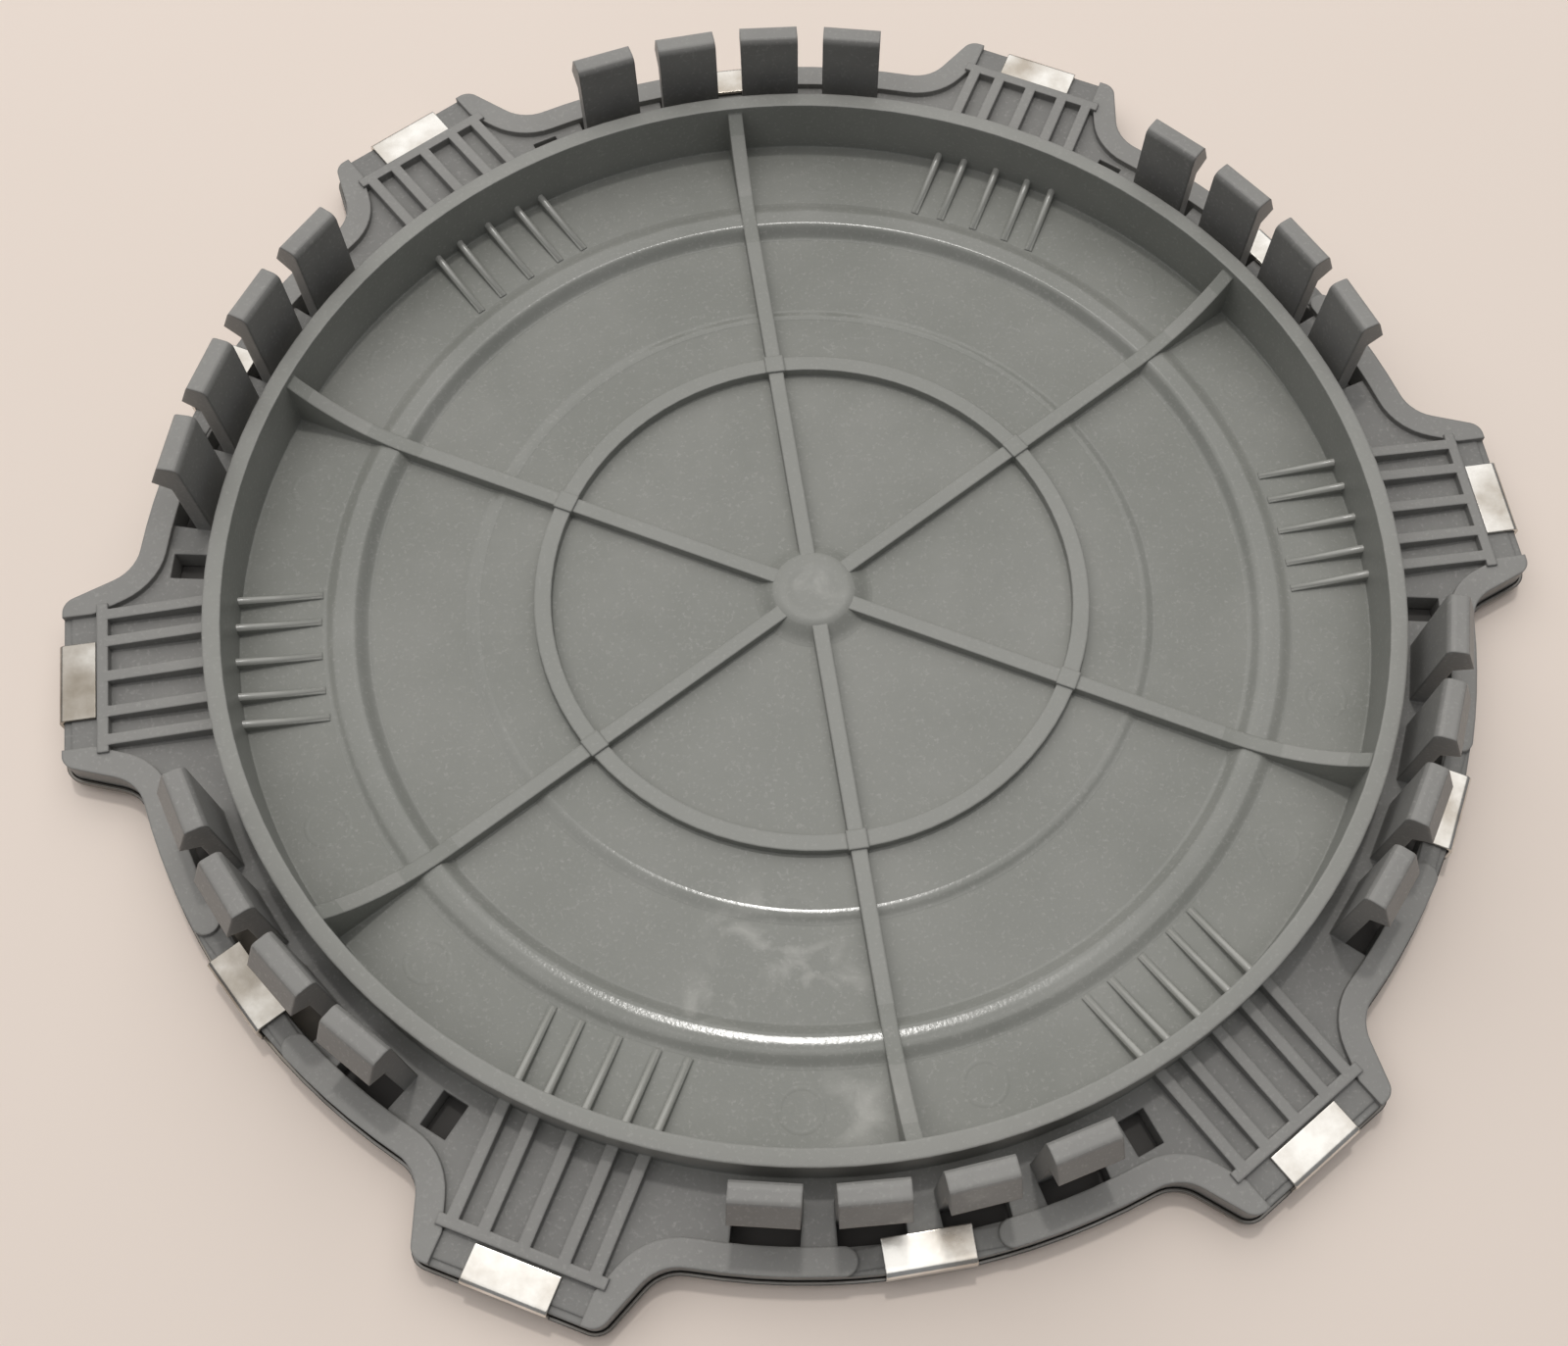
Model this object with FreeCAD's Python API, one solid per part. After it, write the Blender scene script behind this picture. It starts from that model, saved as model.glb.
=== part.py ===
# Wheel center cap, lying face down: a moulded plastic body with a ring of snap fingers, dressed on its
# front by a thin metal skin whose tabs are folded over the edge of the moulding.
# Millimetres. +Z is up, out of the back of the cap. The origin is where the cap's axis meets the
# surface that its face lies on, and +X runs through the middle of a lobe.
import FreeCAD
import Part
import math
import os

from FreeCAD import Vector

# Driving dimensions: face skin
skin_thickness = 0.5
skin_clearance = 0.1
skin_edge_drop = 3.4
skin_edge_chamfer = 0.6
tab_width = 11.4
tab_length = 5.0
tab_bend_radius = 0.4

# Driving dimensions: floor plate, bead and ring wall
plate_thickness = 2.4
plateau_radius = 47.6
plateau_height = 0.4
plateau_step_width = 1.0
bead_inner_radius = 62.8
bead_width = 5.4
bead_flank_width = 1.7
bead_height = 1.7
annulus_height = 1.0
wall_inner_radius = 80.0
wall_thickness = 2.4
wall_height = 9.9

# Driving dimensions: flange, lobes and lip
flange_thickness = 3.5
lip_width = 3.6
lip_height = 0.9
lobe_count = 6
lobe_length = 8.6
lobe_end_width = 24.6
lobe_taper_angle = 20.6
lobe_root_radius = 6.0
lobe_corner_radius = 2.2
tab_seat_height = 0.2
tab_seat_setback = 1.0
pocket_length = 4.7
pocket_width = 20.0
notch_width = 17.6

# Driving dimensions: ribs on the floor and in the lobes
rib_width = 2.2
rib_height = 1.9
rib_rise_length = 17.6
rib_end_drop = 0.8
ring_rib_radius = 38.2
ring_rib_width = 2.4
rib_pip_size = 2.8
rib_pip_height = 0.3
hub_base_radius = 7.4
hub_top_radius = 4.8
hub_dish_radius = 3.6
hub_dish_depth = 0.3
lobe_rib_width = 1.6
lobe_rib_height = 2.0
lobe_rib_drop = 0.7
lobe_rib_inner_pitch = 5.3
lobe_rib_outer_pitch = 4.15
cross_bar_width = 1.5
cross_bar_length = 22.4
fin_width = 1.1
fin_height = 1.4
fin_toe_height = 0.15
fin_length = 11.2

# Driving dimensions: snap fingers, their windows and the slots beside the lobes
fingers_per_group = 4
finger_pitch_angle = 8.4
finger_gap = 2.8
finger_width = 8.7
finger_thickness = 2.4
finger_height = 15.8
finger_top_width = 2.8
finger_inner_rounding = 1.0
finger_outer_rounding = 0.8
hook_reach = 2.4
hook_tip_drop = 4.0
hook_under_rise = 1.2
window_length = 3.2
slot_length = 5.0
slot_width = 3.8
slot_setback = 5.0
slot_lobe_angle = 10.6

# Sizes that follow from the driving dimensions
body_front = skin_thickness + skin_clearance
floor_top = body_front + plate_thickness
annulus_top = floor_top + annulus_height
bead_outer_radius = bead_inner_radius + bead_width
bead_top = floor_top + bead_height
wall_outer_radius = wall_inner_radius + wall_thickness
wall_top = floor_top + wall_height
flange_front = body_front + annulus_height
flange_top = flange_front + flange_thickness
flange_root = flange_front + flange_thickness / 2
floor_root = body_front + plate_thickness / 2
slot_radius = wall_outer_radius + slot_setback
finger_inner_radius = wall_outer_radius + finger_gap
finger_outer_radius = finger_inner_radius + finger_thickness
lip_inner_radius = finger_outer_radius + window_length
rim_radius = lip_inner_radius + lip_width
lip_top = flange_top + lip_height
tab_seat_top = flange_top + tab_seat_height
lobe_end = rim_radius + lobe_length
lobe_pitch_angle = 360.0 / lobe_count
rib_top = floor_top + rib_height
bar_outer = lobe_end - pocket_length
bar_inner = bar_outer - cross_bar_width
lobe_rib_top = flange_top + lobe_rib_height
bar_top = lobe_rib_top - lobe_rib_drop
lobe_rib_reach = lobe_rib_inner_pitch + lobe_rib_outer_pitch
lobe_rib_offsets = (-lobe_rib_reach, -lobe_rib_inner_pitch, 0.0, lobe_rib_inner_pitch, lobe_rib_reach)
skin_growth = skin_clearance + skin_thickness
skin_front = flange_front - skin_growth
skin_edge_top = lip_top - skin_edge_drop

axis_origin = Vector(0, 0, 0)
axis_up = Vector(0, 0, 1)


def in_section(radius, height):
    """Point of the XZ plane, where the cap's sections are drawn."""
    return Vector(radius, 0, height)


def section_face(corners):
    """Face in the XZ plane through corners (radius, height) or (radius, height, rounding)."""
    points = [in_section(*corner[:2]) for corner in corners]
    starts = []
    middles = []
    ends = []
    for index, corner in enumerate(corners):
        rounding = corner[2] if len(corner) > 2 else 0.0
        before = points[index - 1] - points[index]
        after = points[(index + 1) % len(points)] - points[index]
        before.normalize()
        after.normalize()
        half_angle = before.getAngle(after) / 2
        run = rounding / math.tan(half_angle)
        starts.append(points[index] + before * run)
        ends.append(points[index] + after * run)
        depth = (rounding / math.sin(half_angle) - rounding) / (2 * math.cos(half_angle))
        middles.append(points[index] + (before + after) * depth)
    edges = []
    for index, corner in enumerate(corners):
        edges.append(Part.LineSegment(ends[index - 1], starts[index]).toShape())
        if len(corner) > 2:
            edges.append(Part.Arc(starts[index], middles[index], ends[index]).toShape())
    return Part.Face(Part.Wire(edges))


def turned(corners):
    """Solid of revolution about the cap's axis."""
    return section_face(corners).revolve(axis_origin, axis_up, 360)


def slab(face, width, offset=0.0):
    """Upright slab with the given section, its middle at y = offset."""
    placed = face.copy()
    placed.translate(Vector(0, offset - width / 2, 0))
    return placed.extrude(Vector(0, width, 0))


def block(x_range, y_range, z_range):
    """Box between three pairs of limits."""
    sizes = [high - low for low, high in (x_range, y_range, z_range)]
    return Part.makeBox(*sizes, Vector(x_range[0], y_range[0], z_range[0]))


def at_angle(shape, angle):
    """Copy of a shape turned about the cap's axis."""
    copy = shape.copy()
    copy.rotate(axis_origin, axis_up, angle)
    return copy


def around(shape, first_angle=0.0):
    """One copy of a shape for each lobe."""
    return [at_angle(shape, first_angle + index * lobe_pitch_angle) for index in range(lobe_count)]


def in_plan(angle, point):
    """Plan point of a lobe turned into its place about the axis."""
    turn = math.radians(angle)
    x, y = point
    return Vector(x * math.cos(turn) - y * math.sin(turn), x * math.sin(turn) + y * math.cos(turn), 0)


def lobed_face(growth):
    """The cap's plan outline, grown evenly by a distance, or shrunk where that is negative."""
    taper = math.radians(lobe_taper_angle)
    normal = (math.sin(taper), math.cos(taper))
    side = normal[0] * lobe_end + normal[1] * lobe_end_width / 2

    # The root arc is tangent to the rim and to the lobe's side, and keeps its centre as the outline grows.
    root_across = side + lobe_root_radius
    root_along = math.sqrt((rim_radius + lobe_root_radius) ** 2 - root_across ** 2)
    root_centre = (normal[0] * root_across + normal[1] * root_along,
                   normal[1] * root_across - normal[0] * root_along)
    root_radius = lobe_root_radius - growth
    root_angle = math.atan2(root_centre[1], root_centre[0])
    rim = rim_radius + growth
    rim_touch = (rim * math.cos(root_angle), rim * math.sin(root_angle))
    side_root = (root_centre[0] - root_radius * normal[0], root_centre[1] - root_radius * normal[1])
    root_turn = (root_angle + math.pi / 2 - taper) / 2
    root_middle = (root_centre[0] - root_radius * math.cos(root_turn),
                   root_centre[1] - root_radius * math.sin(root_turn))

    # The corner arc is tangent to the side and to the flat end, and never sharper than the lip's edge.
    corner_radius = max(lobe_corner_radius + growth, lobe_corner_radius / 4)
    corner_x = lobe_end + growth - corner_radius
    corner_y = (side + growth - corner_radius - normal[0] * corner_x) / normal[1]
    corner_turn = (math.pi / 2 - taper) / 2
    side_end = (corner_x + corner_radius * normal[0], corner_y + corner_radius * normal[1])
    corner_middle = (corner_x + corner_radius * math.cos(corner_turn),
                     corner_y + corner_radius * math.sin(corner_turn))
    end_touch = (lobe_end + growth, corner_y)

    half = [rim_touch, root_middle, side_root, side_end, corner_middle, end_touch]
    mirrored = [(x, -y) for x, y in half]
    edges = []
    for index in range(lobe_count):
        angle = index * lobe_pitch_angle
        low = [in_plan(angle, point) for point in mirrored]
        high = [in_plan(angle, point) for point in half]
        next_rim = in_plan(angle + lobe_pitch_angle, mirrored[0])
        rim_middle = in_plan(angle + lobe_pitch_angle / 2, (rim, 0.0))
        edges.append(Part.Arc(low[0], low[1], low[2]).toShape())
        edges.append(Part.LineSegment(low[2], low[3]).toShape())
        edges.append(Part.Arc(low[3], low[4], low[5]).toShape())
        edges.append(Part.LineSegment(low[5], high[5]).toShape())
        edges.append(Part.Arc(high[5], high[4], high[3]).toShape())
        edges.append(Part.LineSegment(high[3], high[2]).toShape())
        edges.append(Part.Arc(high[2], high[1], high[0]).toShape())
        edges.append(Part.Arc(high[0], rim_middle, next_rim).toShape())
    return Part.Face(Part.Wire(edges))


def lobed_prism(growth, bottom, top):
    """Upright prism on the cap's outline."""
    prism = lobed_face(growth).extrude(Vector(0, 0, top - bottom))
    prism.translate(Vector(0, 0, bottom))
    return prism


def front_section(level):
    """Section of the cap's front: a centre disc at the given level and a sloping step up to the flange."""
    return [
        (0.0, level),
        (bead_inner_radius, level),
        (bead_outer_radius, level + annulus_height),
    ]


def floor_and_wall():
    """The dished floor plate with its plateau, bead and annulus, and the ring wall, as one turned solid."""
    plateau_top = floor_top + plateau_height
    return turned(front_section(body_front) + [
        (wall_outer_radius, flange_front),
        (wall_outer_radius, wall_top),
        (wall_inner_radius, wall_top),
        (wall_inner_radius, annulus_top),
        (bead_outer_radius, annulus_top),
        (bead_outer_radius - bead_flank_width, bead_top),
        (bead_inner_radius + bead_flank_width, bead_top),
        (bead_inner_radius, floor_top),
        (plateau_radius + plateau_step_width, floor_top),
        (plateau_radius, plateau_top),
        (0.0, plateau_top),
    ])


def flange_and_lip():
    """The flange outside the ring wall, with its lobes, the raised lip and the seats for the skin's tabs."""
    plate = lobed_prism(0.0, flange_front, flange_top)
    lip = lobed_prism(0.0, flange_top, lip_top).cut(lobed_prism(-lip_width, flange_front, lip_top + lip_height))

    # At a lobe's end the lip is cut down between two sides, to a seat set back from the skin.
    half_pocket = pocket_width / 2
    pocket = block((bar_outer, lobe_end + lip_width), (-half_pocket, half_pocket), (flange_top, lip_top))
    pocket_seat = block((bar_outer, lobe_end - tab_seat_setback), (-half_pocket, half_pocket),
                        (flange_root, tab_seat_top))

    # Half way between lobes the lip stops in two half rounds, with a lower seat between them.
    lip_end = lip_width / 2
    half_notch = notch_width / 2 + lip_end
    notch = block((lip_inner_radius - lip_width, rim_radius + lip_width), (-half_notch, half_notch),
                  (flange_top, lip_top))
    notch_seat = block((lip_inner_radius, rim_radius - tab_seat_setback), (-half_notch, half_notch),
                       (flange_root, tab_seat_top))
    end_radius = rim_radius - lip_end
    end_swing = math.degrees(math.asin(half_notch / end_radius))
    round_end = Part.makeCylinder(lip_end, lip_height, Vector(end_radius, 0, flange_top))

    half_pitch = lobe_pitch_angle / 2
    lip = lip.cut(Part.makeCompound(around(pocket) + around(notch, half_pitch)))
    seats = around(pocket_seat) + around(notch_seat, half_pitch)
    round_ends = around(round_end, half_pitch - end_swing) + around(round_end, half_pitch + end_swing)
    inside = Part.makeCylinder(wall_inner_radius + wall_thickness / 2, lip_top)
    return plate.multiFuse([lip] + seats + round_ends).cut(inside)


def floor_ribs():
    """Radial ribs that climb the wall, the ring rib, the pips where they cross, and the hub."""
    rise_start = wall_inner_radius - rib_rise_length
    rise = wall_top - rib_end_drop - rib_top
    sweep_radius = (rib_rise_length ** 2 + rise ** 2) / (2 * rise)
    half_turn = math.asin(rib_rise_length / sweep_radius) / 2
    curve_middle = in_section(rise_start + sweep_radius * math.sin(half_turn),
                              rib_top + sweep_radius * (1 - math.cos(half_turn)))
    wall_middle = wall_inner_radius + wall_thickness / 2
    rib_root_depth = plate_thickness / 4
    outline = [
        in_section(wall_inner_radius, rib_top + rise),
        in_section(wall_middle, rib_top + rise),
        in_section(wall_middle, annulus_top - rib_root_depth),
        in_section(bead_outer_radius, annulus_top - rib_root_depth),
        in_section(bead_inner_radius, floor_top - rib_root_depth),
        in_section(0.0, floor_top - rib_root_depth),
        in_section(0.0, rib_top),
        in_section(rise_start, rib_top),
    ]
    edges = [Part.LineSegment(start, end).toShape() for start, end in zip(outline, outline[1:])]
    edges.append(Part.Arc(outline[-1], curve_middle, outline[0]).toShape())
    ribs = around(slab(Part.Face(Part.Wire(edges)), rib_width), lobe_pitch_angle / 2)
    ring = turned([
        (ring_rib_radius - ring_rib_width / 2, floor_root),
        (ring_rib_radius + ring_rib_width / 2, floor_root),
        (ring_rib_radius + ring_rib_width / 2, rib_top),
        (ring_rib_radius - ring_rib_width / 2, rib_top),
    ])
    half_pip = rib_pip_size / 2
    pip = block((ring_rib_radius - half_pip, ring_rib_radius + half_pip), (-half_pip, half_pip),
                (floor_top, rib_top + rib_pip_height))
    hub = turned([
        (0.0, floor_root),
        (hub_base_radius, floor_root),
        (hub_base_radius, floor_top),
        (hub_top_radius, rib_top + hub_dish_depth),
        (hub_dish_radius, rib_top + hub_dish_depth),
        (hub_dish_radius - hub_dish_depth, rib_top),
        (0.0, rib_top),
    ])
    return ribs + [ring, hub] + around(pip, lobe_pitch_angle / 2)


def lobe_ribs():
    """The parallel ribs and cross bar of each lobe, and the fins that carry them on inside the wall."""
    wall_middle = wall_inner_radius + wall_thickness / 2
    rib_face = section_face([
        (wall_middle, flange_root),
        (bar_inner + cross_bar_width / 2, flange_root),
        (bar_inner + cross_bar_width / 2, bar_top),
        (wall_middle, lobe_rib_top),
    ])
    pieces = []
    for offset in lobe_rib_offsets:
        wall_x = math.sqrt(wall_inner_radius ** 2 - offset ** 2)
        toe_x = wall_x - fin_length
        fin_face = section_face([
            (toe_x, annulus_top - plate_thickness / 2),
            (wall_x + wall_thickness / 2, annulus_top - plate_thickness / 2),
            (wall_x + wall_thickness / 2, annulus_top + fin_height),
            (wall_x, annulus_top + fin_height),
            (toe_x, annulus_top + fin_toe_height),
        ])
        pieces += around(slab(rib_face, lobe_rib_width, offset))
        pieces += around(slab(fin_face, fin_width, offset))
    half_bar = cross_bar_length / 2
    pieces += around(block((bar_inner, bar_outer), (-half_bar, half_bar), (flange_root, bar_top)))
    return pieces


def finger_angles():
    """Angles of all the fingers: a group of evenly spaced ones between each two lobes."""
    angles = []
    for group in range(lobe_count):
        for place in range(fingers_per_group):
            step = place - (fingers_per_group - 1) / 2
            angles.append((group + 0.5) * lobe_pitch_angle + step * finger_pitch_angle)
    return angles


def snap_fingers():
    """Upright fingers with a hook head: a rounded top, a sloping lead-in outside and an undercut below it."""
    finger_top = flange_top + finger_height
    tip_radius = finger_outer_radius + hook_reach
    tip_height = finger_top - hook_tip_drop
    finger = slab(section_face([
        (finger_inner_radius, flange_root),
        (finger_outer_radius, flange_root),
        (finger_outer_radius, tip_height - hook_under_rise),
        (tip_radius, tip_height),
        (finger_inner_radius + finger_top_width, finger_top, finger_outer_rounding),
        (finger_inner_radius, finger_top, finger_inner_rounding),
    ]), finger_width)
    return [at_angle(finger, angle) for angle in finger_angles()]


def flange_openings():
    """The window under each finger's hook, and the slot on one side of each lobe, through the flange."""
    half_finger = finger_width / 2
    window = block((finger_outer_radius, lip_inner_radius), (-half_finger, half_finger), (0.0, flange_top))
    slot = block((slot_radius - slot_length / 2, slot_radius + slot_length / 2),
                 (-slot_width / 2, slot_width / 2), (0.0, flange_top))
    windows = [at_angle(window, angle) for angle in finger_angles()]
    return windows + around(slot, -slot_lobe_angle)


def moulded_body():
    """The whole moulding as one solid."""
    shell = floor_and_wall().fuse(flange_and_lip())
    shell = shell.cut(Part.makeCompound(flange_openings()))
    solid = shell.multiFuse(floor_ribs() + lobe_ribs() + snap_fingers())
    return solid.removeSplitter()


def folded_tab(reach):
    """Section of a tab that comes up from the skin's edge and folds in over its seat."""
    outside = reach + skin_growth
    inside = outside - skin_thickness
    under = tab_seat_top + skin_clearance
    over = under + skin_thickness
    foot = skin_edge_top - skin_thickness
    return section_face([
        (inside, foot),
        (outside, foot),
        (outside, over, tab_bend_radius + skin_thickness),
        (outside - tab_length, over),
        (outside - tab_length, under),
        (inside, under, tab_bend_radius),
    ])


def face_skin():
    """The pressed sheet over the front, its turned-up edge and its folded tabs, as one solid."""
    skin_back = skin_front + skin_thickness
    pan = lobed_prism(skin_growth, skin_front, skin_edge_top)
    front_edges = [edge for edge in pan.Edges if edge.BoundBox.ZMax < skin_back]
    pan = pan.makeChamfer(skin_edge_chamfer, front_edges)
    pan = pan.cut(lobed_prism(skin_clearance, skin_back, lip_top))
    pan = pan.cut(Part.makeCylinder(wall_outer_radius, lip_top))
    disc_edge = wall_outer_radius + finger_gap / 2
    disc = turned(front_section(0.0) + [(disc_edge, skin_front), (disc_edge, skin_back)]
                  + front_section(skin_thickness)[::-1])
    tabs = around(slab(folded_tab(lobe_end), tab_width))
    tabs += around(slab(folded_tab(rim_radius), tab_width), lobe_pitch_angle / 2)
    return pan.multiFuse([disc] + tabs).removeSplitter()


os.makedirs("parts", exist_ok=True)
for name, shape in (("moulded_body", moulded_body()), ("face_skin", face_skin())):
    solids = shape.Solids
    print(name, len(solids), "solid", shape.isValid(), round(shape.Volume, 1), shape.BoundBox)
    shape.exportStep("parts/" + name + ".step")
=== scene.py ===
import math

import bmesh
import bpy
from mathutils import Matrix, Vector


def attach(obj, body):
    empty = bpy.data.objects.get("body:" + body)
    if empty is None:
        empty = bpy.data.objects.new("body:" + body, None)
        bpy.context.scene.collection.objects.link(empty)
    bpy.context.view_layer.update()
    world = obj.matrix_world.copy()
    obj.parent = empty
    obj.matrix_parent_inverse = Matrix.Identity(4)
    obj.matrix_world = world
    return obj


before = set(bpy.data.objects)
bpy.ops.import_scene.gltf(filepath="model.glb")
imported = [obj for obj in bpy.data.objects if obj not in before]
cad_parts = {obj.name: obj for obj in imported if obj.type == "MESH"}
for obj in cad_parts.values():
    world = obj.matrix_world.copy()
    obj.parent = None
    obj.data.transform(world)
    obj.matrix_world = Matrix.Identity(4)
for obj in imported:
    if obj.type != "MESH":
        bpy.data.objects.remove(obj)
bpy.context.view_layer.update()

# The moulded body: floor plate, ring wall, flange, ribs and snap fingers in one piece.
# It is grey injection-moulded plastic with a fine satin surface, dusty from use.
# Its edges are softened as a mould leaves them, and its flange is a little darker than the rest.
mm = 0.001
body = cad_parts["moulded_body"]


def start_finish(name):
    """A new finish: its material, node tree and shader, and the place of each point of the piece."""
    finish = bpy.data.materials.new(name)
    finish.use_nodes = True
    node_tree = finish.node_tree
    points = node_tree.nodes.new("ShaderNodeTexCoord")
    return finish, node_tree, node_tree.nodes["Principled BSDF"], points


def plan_of(tree, place):
    """The place of each point as seen from above, without its height."""
    flatten = tree.nodes.new("ShaderNodeVectorMath")
    flatten.operation = "MULTIPLY"
    flatten.inputs[1].default_value = (1.0, 1.0, 0.0)
    tree.links.new(place.outputs["Object"], flatten.inputs[0])
    return flatten.outputs["Vector"]


def distance_from(tree, plan, x, y):
    """How far each point is from one place on the piece, seen from above."""
    away = tree.nodes.new("ShaderNodeVectorMath")
    away.operation = "DISTANCE"
    away.inputs[1].default_value = (x, y, 0.0)
    tree.links.new(plan, away.inputs[0])
    return away.outputs["Value"]


def ramp(tree, source, low, high, at_low=0.0, at_high=1.0, smooth=False):
    """A value that runs from at_low to at_high while its source runs from low to high."""
    slope = tree.nodes.new("ShaderNodeMapRange")
    if smooth:
        slope.interpolation_type = "SMOOTHSTEP"
    slope.inputs["From Min"].default_value = low
    slope.inputs["From Max"].default_value = high
    slope.inputs["To Min"].default_value = at_low
    slope.inputs["To Max"].default_value = at_high
    tree.links.new(source, slope.inputs["Value"])
    return slope.outputs["Result"]


def two_tone(tree, first_colour, second_colour, amount):
    """One colour that turns into another as the amount goes from 0 to 1."""
    blend = tree.nodes.new("ShaderNodeMix")
    blend.data_type = "RGBA"
    blend.inputs["A"].default_value = first_colour
    blend.inputs["B"].default_value = second_colour
    tree.links.new(amount, blend.inputs["Factor"])
    return blend.outputs["Result"]


flange_starts = 81 * mm
flange_colour_full = 84 * mm
floor_grey = (0.247, 0.251, 0.230, 1.0)
flange_grey = (0.214, 0.210, 0.202, 1.0)
plastic, tree, shader, place = start_finish("moulded_plastic")
plan = plan_of(tree, place)
from_axis = distance_from(tree, plan, 0.0, 0.0)
on_flange = ramp(tree, from_axis, low=flange_starts, high=flange_colour_full)
tint = two_tone(tree, floor_grey, flange_grey, on_flange)
tint.node.name = "tint"


def cloudy(tree, place, scale, detail=2.0, roughness=0.5, distortion=0.0):
    """A random cloudy pattern fixed to the piece: broad at a low scale, fine as grit at a high one."""
    noise = tree.nodes.new("ShaderNodeTexNoise")
    noise.inputs["Scale"].default_value = scale
    noise.inputs["Detail"].default_value = detail
    noise.inputs["Roughness"].default_value = roughness
    noise.inputs["Distortion"].default_value = distortion
    tree.links.new(place.outputs["Object"], noise.inputs["Vector"])
    return noise.outputs["Fac"]


def cover(tree, under, colour, amount):
    """The colour beneath with another one laid over it, as thickly as the amount says."""
    layer = tree.nodes.new("ShaderNodeMix")
    layer.data_type = "RGBA"
    layer.inputs["B"].default_value = colour
    tree.links.new(under, layer.inputs["A"])
    tree.links.new(amount, layer.inputs["Factor"])
    return layer.outputs["Result"]


# Cloudy dust lightens the grey in patches.
dust_colour = (0.39, 0.385, 0.365, 1.0)
cloud = cloudy(tree, place, scale=42.0, detail=7.0, roughness=0.62)
dust_amount = ramp(tree, cloud, low=0.42, high=0.74, at_high=0.36)
dusty = cover(tree, tint, dust_colour, dust_amount)

# Fine speckle of grit over the whole moulding.
grit_colour = (0.42, 0.41, 0.39, 1.0)
grit = cloudy(tree, place, scale=1900.0, detail=3.0)
grit_amount = ramp(tree, grit, low=0.56, high=0.76, at_high=0.4)
speckled = cover(tree, dusty, grit_colour, grit_amount)


def upright_part(tree, source):
    """The upright part of a place or of a direction."""
    split = tree.nodes.new("ShaderNodeSeparateXYZ")
    tree.links.new(source, split.inputs["Vector"])
    return split.outputs["Z"]


def work_out(tree, operation, *terms):
    """A sum done at every point of the piece, with the values of other nodes or plain numbers."""
    working = tree.nodes.new("ShaderNodeMath")
    working.operation = operation
    for socket, term in zip(working.inputs, terms):
        if isinstance(term, bpy.types.NodeSocket):
            tree.links.new(term, socket)
        else:
            socket.default_value = term
    return working.outputs["Value"]


# The tops of the floor's ribs, the pips where they cross and the hub are painted paler than the floor: a
# painted highlight where the light falls on them.
rib_light_starts = 4.8 * mm
rib_light_full = 4.9 * mm
ribbed_floor_radius = 61.0 * mm
rib_highlight_colour = (0.36, 0.36, 0.34, 1.0)
height = upright_part(tree, place.outputs["Object"])
above_floor = ramp(tree, height, low=rib_light_starts, high=rib_light_full, at_high=0.36)
inside_bead = work_out(tree, "LESS_THAN", from_axis, ribbed_floor_radius)
on_rib = work_out(tree, "MULTIPLY", above_floor, inside_bead)
lit_ribs = cover(tree, speckled, rib_highlight_colour, on_rib)

# The upward-facing tops of the walls, ribs, lip and fingers are painted a little paler than the floors
# between them, as painted light on the tops.
flat_enough = 0.8
tops_start = 5.8 * mm
tops_full = 5.9 * mm
top_highlight_colour = (0.44, 0.43, 0.41, 1.0)
upward = work_out(tree, "GREATER_THAN", upright_part(tree, place.outputs["Normal"]), flat_enough)
standing = ramp(tree, height, low=tops_start, high=tops_full, at_high=0.26)
on_top = work_out(tree, "MULTIPLY", upward, standing)
lit_tops = cover(tree, lit_ribs, top_highlight_colour, on_top)

# Whitish streaky patches are laid over the near side, on the floor, the band and the lip, and a whitish
# scuff over the hub.
pale_patch_colour = (0.55, 0.54, 0.51, 1.0)
pale_patch_strength = 0.6
streaks = cloudy(tree, place, scale=190.0, detail=5.0, distortion=0.5)
streak_amount = ramp(tree, streaks, low=0.46, high=0.70)
patched = lit_tops
for patch_x, patch_y, reach in (
    (-14.3, -49.8, 11.0),
    (-7.4, -56.2, 9.0),
    (-22.0, -57.0, 7.0),
    (-6.0, -73.5, 8.0),
    (0.0, -94.0, 13.0),
    (0.0, 0.0, 6.5),
):
    away = distance_from(tree, plan, patch_x * mm, patch_y * mm)
    fade = ramp(tree, away, low=0.0, high=reach * mm, at_low=pale_patch_strength, at_high=0.0, smooth=True)
    pale_patch_amount = work_out(tree, "MULTIPLY", fade, streak_amount)
    patched = cover(tree, patched, pale_patch_colour, pale_patch_amount)
tree.links.new(patched, shader.inputs["Base Color"])


def soften(tree, shader, edge_radius, relief, depth, strength):
    """Rounds the edges of a finish and gives its surface a slight relief."""
    soft_edge = tree.nodes.new("ShaderNodeBevel")
    soft_edge.samples = 8
    soft_edge.inputs["Radius"].default_value = edge_radius
    bump = tree.nodes.new("ShaderNodeBump")
    bump.inputs["Strength"].default_value = strength
    bump.inputs["Distance"].default_value = depth
    tree.links.new(relief, bump.inputs["Height"])
    tree.links.new(soft_edge.outputs["Normal"], bump.inputs["Normal"])
    tree.links.new(bump.outputs["Normal"], shader.inputs["Normal"])


# The plastic is satin, duller where the dust lies, with a fine grain.
gloss = ramp(tree, cloud, low=0.0, high=1.0, at_low=0.33, at_high=0.50)
gloss.node.name = "gloss"
tree.links.new(gloss, shader.inputs["Roughness"])
shader.inputs["Specular IOR Level"].default_value = 0.28
soften(tree, shader, edge_radius=0.5 * mm, relief=grit, depth=0.08 * mm, strength=0.22)
body.data.materials.clear()
body.data.materials.append(plastic)

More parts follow.
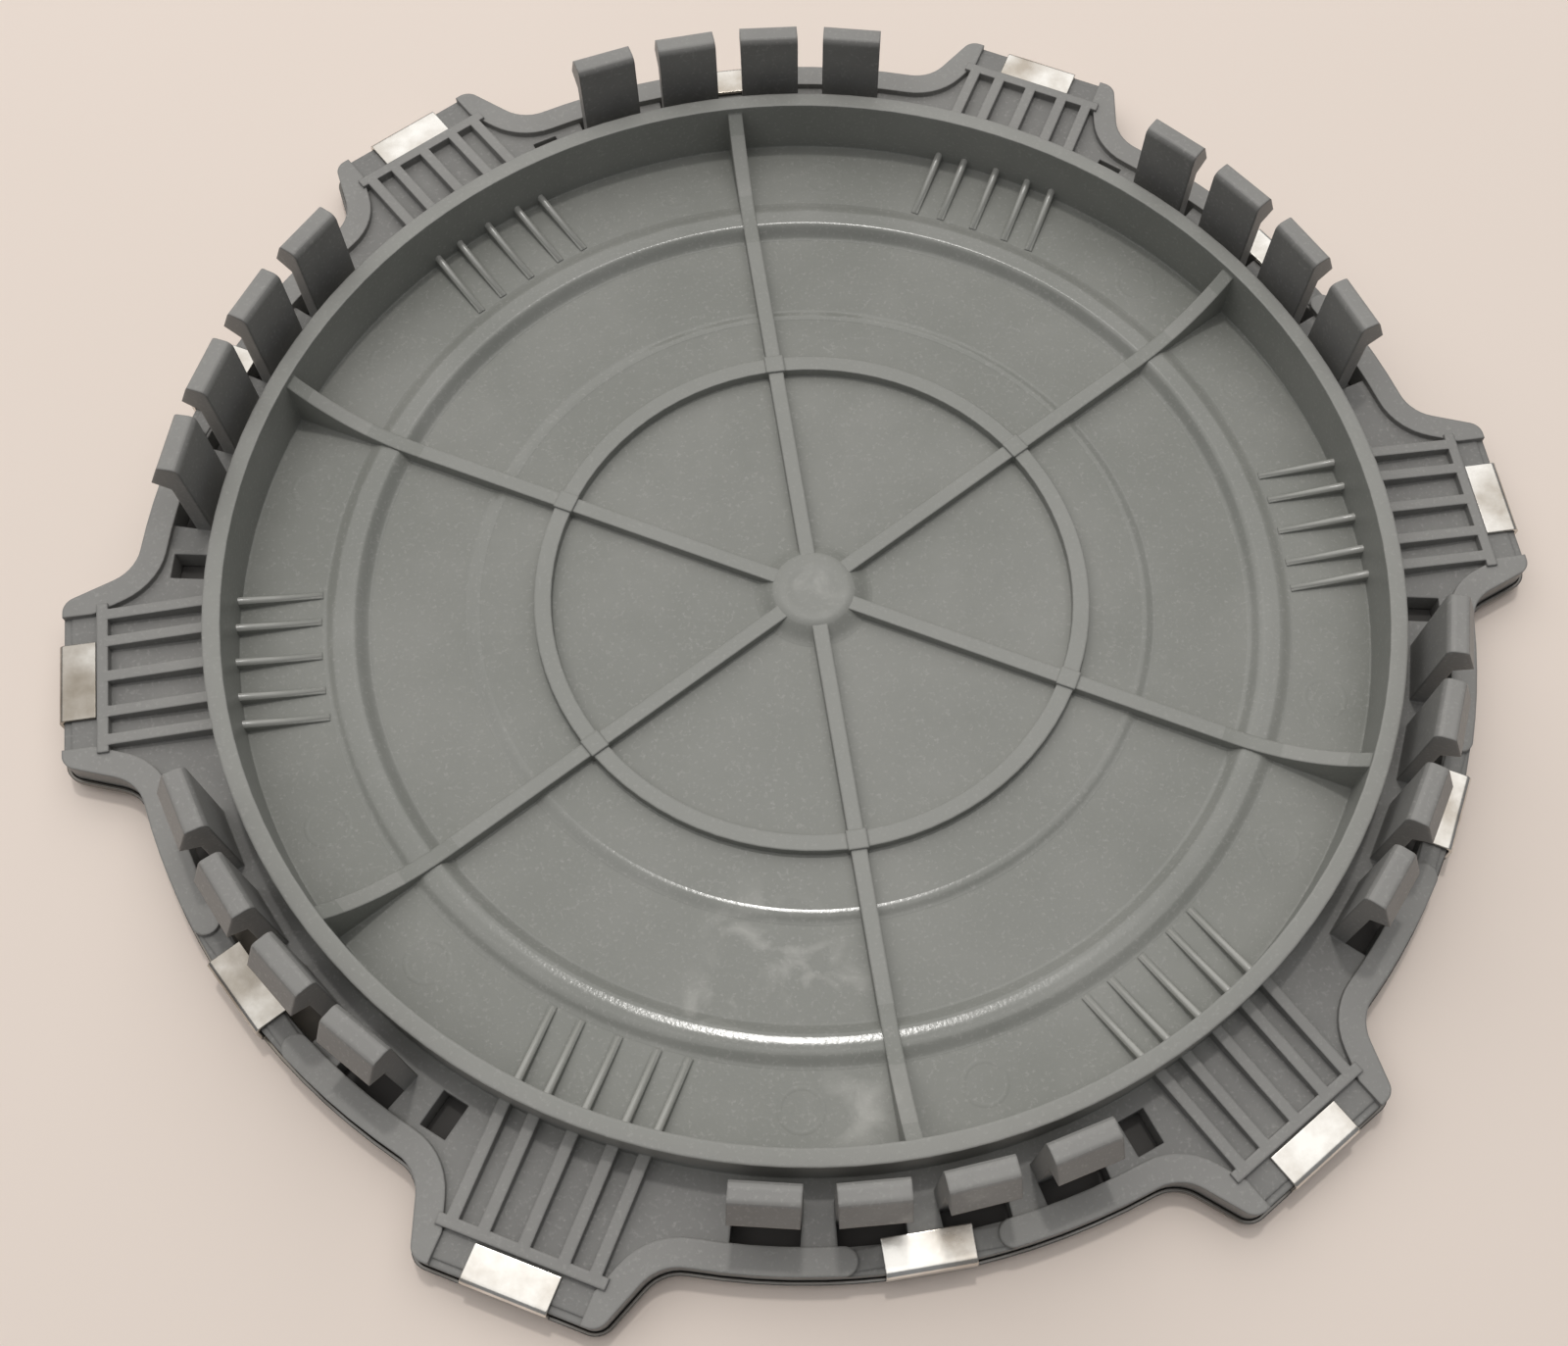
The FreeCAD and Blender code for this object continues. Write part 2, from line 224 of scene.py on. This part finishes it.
# The rounded forms of the floor: the bead near the ring wall, the edge of the low step and the hub.
# They are part of the moulding, where its mould was polished to soft curves instead of corners.
# Each is a turned strip, a hair above the plain form below it, and the hub keeps the floor's satin.
strip_rise = 0.02 * mm
strip_steps = 192
curve_steps = 8
weld_distance = strip_rise / 20
floor_level = 3.0 * mm
step_level = 3.4 * mm
band_level = 4.0 * mm
bead_level = 4.7 * mm
hub_level = 5.2 * mm
bead_radius = 65.5 * mm
bead_half_top = 1.0 * mm
bead_half_foot = 3.2 * mm
step_band_radius = 47.1 * mm
step_edge_radius = 47.5 * mm
step_foot_radius = 49.2 * mm
dimple_radius = 2.6 * mm
dimple_depth = 0.18 * mm
dimple_edge_depth = 0.12 * mm
hub_crown_radius = 4.0 * mm
hub_top_radius = 4.8 * mm
hub_foot_radius = 8.4 * mm


def repolish(finish, name, smoothest, roughest, shine):
    """The same plastic where the mould or the wear gave it another gloss."""
    copied = finish.copy()
    copied.name = name
    copied_nodes = copied.node_tree.nodes
    copied_nodes["gloss"].inputs["To Min"].default_value = smoothest
    copied_nodes["gloss"].inputs["To Max"].default_value = roughest
    copied_nodes["Principled BSDF"].inputs["Specular IOR Level"].default_value = shine
    return copied


def eased_section(stations):
    """Points of a section that runs smoothly from each (radius, height) station to the next."""
    section = []
    for (start_radius, start_height), (end_radius, end_height) in zip(stations, stations[1:]):
        for step in range(curve_steps):
            along = step / curve_steps
            ease = along * along * (3 - 2 * along)
            radius = start_radius + (end_radius - start_radius) * along
            section.append((radius, start_height + (end_height - start_height) * ease))
    section.append(stations[-1])
    return section


def turn_strip(build, middle, section, steps):
    """Adds a strip turned about an upright axis, from a section given outwards as (radius, height)."""
    rings = []
    for radius, level in section:
        ring = []
        for step in range(steps):
            turn = math.tau * step / steps
            around = Vector((radius * math.cos(turn), radius * math.sin(turn), level))
            ring.append(build.verts.new(middle + around))
        rings.append(ring)
    for inner, outer in zip(rings, rings[1:]):
        for step in range(steps):
            following = (step + 1) % steps
            build.faces.new((inner[step], outer[step], outer[following], inner[following]))


def smooth_piece(name, build, finish):
    """A smooth piece in its finish, made from a built form and put in the scene."""
    mesh = bpy.data.meshes.new(name)
    build.to_mesh(mesh)
    build.free()
    for face in mesh.polygons:
        face.use_smooth = True
    mesh.materials.append(finish)
    piece = bpy.data.objects.new(name, mesh)
    bpy.context.scene.collection.objects.link(piece)
    return piece


polished = repolish(plastic, "polished_plastic", smoothest=0.12, roughest=0.24, shine=0.52)
for name, finish, stations in (
    ("bead_crown", polished, [
        (bead_radius - bead_half_foot, floor_level),
        (bead_radius - bead_half_top, bead_level),
        (bead_radius, bead_level + 2 * strip_rise),
        (bead_radius + bead_half_top, bead_level),
        (bead_radius + bead_half_foot, band_level),
    ]),
    ("plateau_edge", polished, [
        (step_band_radius, step_level),
        (step_edge_radius, step_level),
        (step_foot_radius, floor_level),
    ]),
    ("hub_crown", plastic, [
        (0.0, hub_level - dimple_depth),
        (dimple_radius, hub_level - dimple_edge_depth),
        (hub_crown_radius, hub_level + strip_rise),
        (hub_top_radius, hub_level),
        (hub_foot_radius, step_level),
    ]),
):
    build = bmesh.new()
    raised_section = [(radius, level + strip_rise) for radius, level in eased_section(stations)]
    turn_strip(build, Vector(), raised_section, strip_steps)
    bmesh.ops.remove_doubles(build, verts=build.verts, dist=weld_distance)
    strip_piece = smooth_piece(name, build, finish)
    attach(strip_piece, "root")

# The rounded tops of the fins inside the ring wall, which carry on the ribs of the lobes.
# Each fin is part of the moulding, thin, and slopes down from the wall to the floor.
# Its top came out of the mould as a smooth half round, and is painted paler than the floor as a painted
# highlight.
lobe_count = 6
lobe_pitch = 360 / lobe_count
wall_radius = 80.0 * mm
fin_length = 11.2 * mm
fin_half_width = 0.55 * mm
fin_toe_half_width = 0.2 * mm
fin_toe_crown = 0.04 * mm
fin_wall_crown = 0.55 * mm
fin_toe_level = 4.15 * mm
fin_wall_level = 5.4 * mm
fin_offsets = (-9.45 * mm, -5.3 * mm, 0.0, 5.3 * mm, 9.45 * mm)
fin_highlight_grey = (0.40, 0.40, 0.37, 1.0)
crown_steps = 6
fin_finish = repolish(polished, "pale_lit_fin_plastic", smoothest=0.19, roughest=0.25, shine=0.8)
# Painted highlight: the fin tops' grey is paler than the floor's.
fin_finish.node_tree.nodes["tint"].inputs["A"].default_value = fin_highlight_grey
build = bmesh.new()
for lobe in range(lobe_count):
    swing = math.radians(lobe_pitch * lobe)
    along = Vector((math.cos(swing), math.sin(swing), 0.0))
    across = Vector((-math.sin(swing), math.cos(swing), 0.0))
    for offset in fin_offsets:
        wall_reach = math.sqrt(wall_radius ** 2 - offset ** 2)
        ends = []
        for reach, level, crown, half_width in (
            (wall_reach - fin_length, fin_toe_level, fin_toe_crown, fin_toe_half_width),
            (wall_reach, fin_wall_level, fin_wall_crown, fin_half_width),
        ):
            arch = []
            for step in range(crown_steps + 1):
                turn = math.pi * step / crown_steps
                side = offset - half_width * math.cos(turn)
                lift = Vector((0.0, 0.0, level + crown * math.sin(turn)))
                arch.append(build.verts.new(along * reach + across * side + lift))
            ends.append(arch)
        toe, heel = ends
        for step in range(crown_steps):
            build.faces.new((toe[step], heel[step], heel[step + 1], toe[step + 1]))
        build.faces.new(toe)
bmesh.ops.recalc_face_normals(build, faces=build.faces)
fin_piece = smooth_piece("fin_tops", build, fin_finish)
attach(fin_piece, "root")

# Ejector-pin marks: the faint round witnesses left on the floor where the mould pushed the part out.
# Each is a shallow raised ring on the band inside the ring wall, of the same plastic.
mark_distance = 73.8 * mm
mark_radius = 3.2 * mm
mark_width = 0.35 * mm
mark_height = 0.06 * mm
mark_steps = 48
mark_angles = (20.0, 38.5)
mark_section = (
    (mark_radius - 2 * mark_width, band_level),
    (mark_radius - mark_width, band_level + mark_height),
    (mark_radius, band_level),
)
build = bmesh.new()
for lobe in range(lobe_count):
    for angle in mark_angles:
        swing = math.radians(lobe_pitch * lobe + angle)
        middle = Vector((math.cos(swing), math.sin(swing), 0.0)) * mark_distance
        turn_strip(build, middle, mark_section, mark_steps)
mark_piece = smooth_piece("ejector_marks", build, plastic)
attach(mark_piece, "root")

# The face skin: thin bright sheet over the front, seen from the back only at its edge and folded tabs.
# It is pressed metal with a polished face, and its tabs are folded over the moulding to hold it.
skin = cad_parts["face_skin"]
bright_colour = (0.86, 0.84, 0.80, 1.0)
stain_colour = (0.46, 0.41, 0.35, 1.0)
metal, tree, shader, place = start_finish("bright_metal")
stain = cloudy(tree, place, scale=130.0, detail=6.0)
stain_amount = ramp(tree, stain, low=0.36, high=0.68)
stained = two_tone(tree, bright_colour, stain_colour, stain_amount)

# The side of the sheet that faces the moulding, seen through the windows, is painted dark and dull as
# painted shade.
shaded_side_top = 1.8 * mm
upward_enough = 0.5
painted_shade_colour = (0.030, 0.027, 0.034, 1.0)
height = upright_part(tree, place.outputs["Object"])
below_flange = work_out(tree, "LESS_THAN", height, shaded_side_top)
upward = work_out(tree, "GREATER_THAN", upright_part(tree, place.outputs["Normal"]), upward_enough)
shaded_side = work_out(tree, "MULTIPLY", below_flange, upward)
shaded_inside = cover(tree, stained, painted_shade_colour, shaded_side)

# The turned-up edge of the sheet, below the moulding's lip, is painted dark as painted shade.
edge_shade_bottom = 1.1 * mm
edge_shade_full = 2.6 * mm
edge_shade_top = 3.2 * mm
edge_shade_colour = (0.10, 0.095, 0.09, 1.0)
edge_shade_fade = ramp(tree, height, low=edge_shade_full, high=edge_shade_top, at_low=0.9, at_high=0.0)
above_face = work_out(tree, "GREATER_THAN", height, edge_shade_bottom)
edge_shade = work_out(tree, "MULTIPLY", edge_shade_fade, above_face)
shaded_edge = cover(tree, shaded_inside, edge_shade_colour, edge_shade)

# Two tabs on the left are painted dull and brownish, unevenly so: painted shade, darker than the lit
# metal of the other tabs.
tab_shade_colour = (0.26, 0.23, 0.19, 1.0)
tab_shade_reach = 5.0 * mm
tab_shade_end = 17.0 * mm
plan = plan_of(tree, place)
uneven = work_out(tree, "MULTIPLY_ADD", stain_amount, 0.5, 0.5)
shaded_tabs = shaded_edge
for tab_x, tab_y in ((-99.0, 0.0), (-82.0, -47.5)):
    away = distance_from(tree, plan, tab_x * mm, tab_y * mm)
    fade = ramp(tree, away, low=tab_shade_reach, high=tab_shade_end, at_low=1.0, at_high=0.0, smooth=True)
    tab_shade_amount = work_out(tree, "MULTIPLY", fade, uneven)
    shaded_tabs = cover(tree, shaded_tabs, tab_shade_colour, tab_shade_amount)
tree.links.new(shaded_tabs, shader.inputs["Base Color"])

# The metal is bare and polished, less so where it is stained, and a little dented.
bare = work_out(tree, "SUBTRACT", 1.0, shaded_side)
tree.links.new(bare, shader.inputs["Metallic"])
polish = ramp(tree, stain, low=0.0, high=1.0, at_low=0.12, at_high=0.36)
dullness = work_out(tree, "MAXIMUM", polish, shaded_side)
tree.links.new(dullness, shader.inputs["Roughness"])
soften(tree, shader, edge_radius=0.25 * mm, relief=stain, depth=0.3 * mm, strength=0.3)
skin.data.materials.clear()
skin.data.materials.append(metal)

# The table: a plain pale sheet of card that the cap lies on, slightly warm in colour.
# It is wide enough to fill the picture and has only a trace of mottling.
table_half_width = 1.5
card_colour = (0.90, 0.79, 0.715, 1.0)
mottle_colour = (0.87, 0.76, 0.68, 1.0)
card, tree, shader, place = start_finish("card")
mottle = cloudy(tree, place, scale=9.0)
mottled = two_tone(tree, card_colour, mottle_colour, mottle)
tree.links.new(mottled, shader.inputs["Base Color"])
shader.inputs["Roughness"].default_value = 0.85
build = bmesh.new()
bmesh.ops.create_grid(build, x_segments=1, y_segments=1, size=table_half_width)
table = smooth_piece("table", build, card)

# The light: a wide soft ceiling panel, a smaller lamp a little behind the cap, and a low even room light.
# The lamp makes the thin bright lines on the bead and on the edge of the low step, and both
# leave the upright walls that face the camera dark.
lamp_colour = (1.0, 0.98, 0.95)
room_colour = (0.95, 0.97, 1.0, 1.0)
room_strength = 0.24
for name, direction, far, wide, power in (
    ("ceiling", Vector((-0.15, 0.5, 1.0)), 1.2, 2.4, 17.4),
    ("lamp", Vector((0.035, 0.265, 1.0)), 1.1, 0.06, 2.0),
):
    light = bpy.data.lights.new(name, "AREA")
    light.size = wide
    light.energy = power
    light.color = lamp_colour
    light_place = bpy.data.objects.new(name, light)
    light_place.location = direction.normalized() * far
    light_place.rotation_euler = direction.to_track_quat("Z", "Y").to_euler()
    bpy.context.scene.collection.objects.link(light_place)
room = bpy.data.worlds.new("room")
room.use_nodes = True
background = room.node_tree.nodes["Background"]
background.inputs["Color"].default_value = room_colour
background.inputs["Strength"].default_value = room_strength
bpy.context.scene.world = room
bpy.context.scene.view_settings.view_transform = "Standard"

# The camera: held close above the near side of the cap and looking down into the dish.
# Its place, turn and shift were fitted to the photograph, so that the outlines fall alike.
camera_place = Vector((-19.2, -114.0, 223.6)) * mm
camera_turns = (21.327, -5.767, -8.066)
camera_data = bpy.data.cameras.new("camera")
camera_data.sensor_width = 36.0
camera_data.lens = 39.74
camera_data.shift_x = -0.0603
camera_data.shift_y = 0.0614
camera_data.clip_start = 0.005
camera = bpy.data.objects.new("camera", camera_data)
camera.location = camera_place
camera.rotation_mode = "ZYX"
camera.rotation_euler = [math.radians(turn) for turn in camera_turns]
bpy.context.scene.collection.objects.link(camera)
bpy.context.scene.camera = camera
